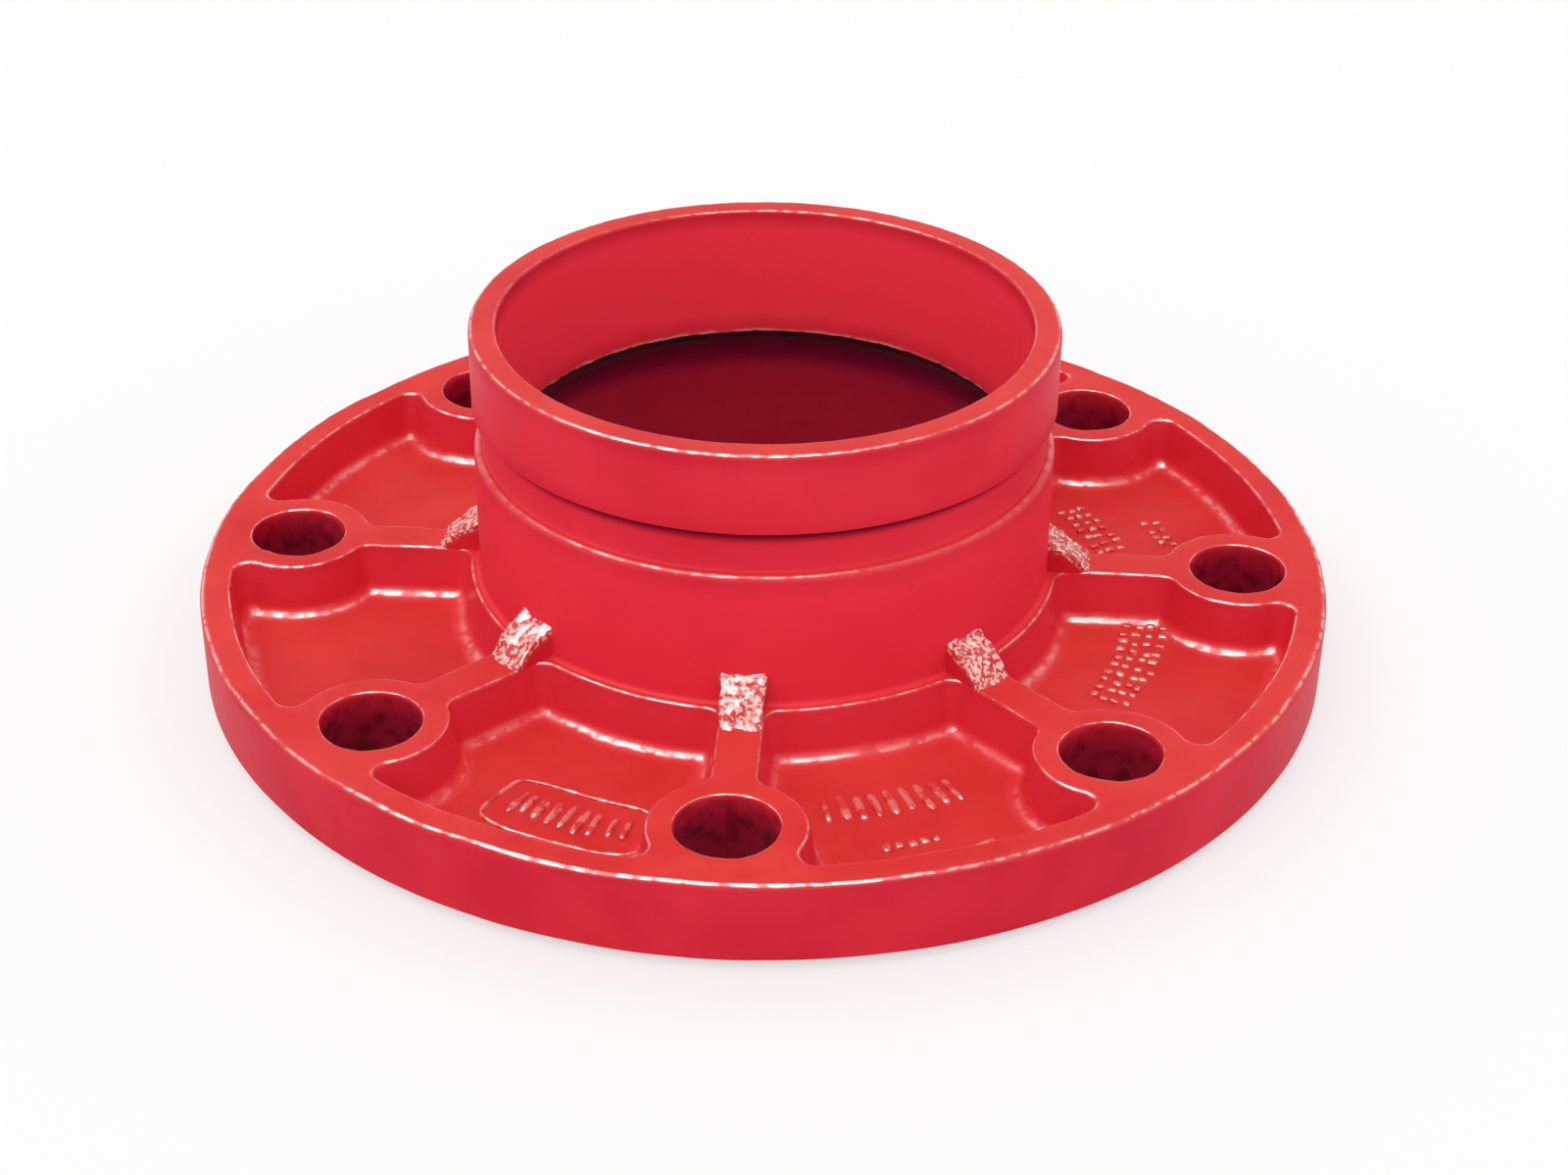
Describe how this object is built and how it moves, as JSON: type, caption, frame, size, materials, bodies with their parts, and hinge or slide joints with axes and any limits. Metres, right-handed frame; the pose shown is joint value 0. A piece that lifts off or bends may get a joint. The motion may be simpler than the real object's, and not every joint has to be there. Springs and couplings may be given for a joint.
{
  "type": "grooved flange",
  "caption": "One-piece grooved flange adapter in red painted iron: a short grooved pipe neck on a round bolting flange with cast pockets, bolt bosses, ribs and gussets.",
  "frame": {"origin": "centre of the raised sealing face, at the bottom of the part", "axes": "+Z along the bore, from the sealing face to the grooved end; a bolt hole stands on the -Y axis"},
  "size_m": [0.225, 0.225, 0.0696],
  "materials": {
    "red_paint": "glossy red paint over ductile iron, rough cast where it was fettled"
  },
  "bodies": {
    "root": {"flange_casting": "red_paint"}
  },
  "joints": []
}
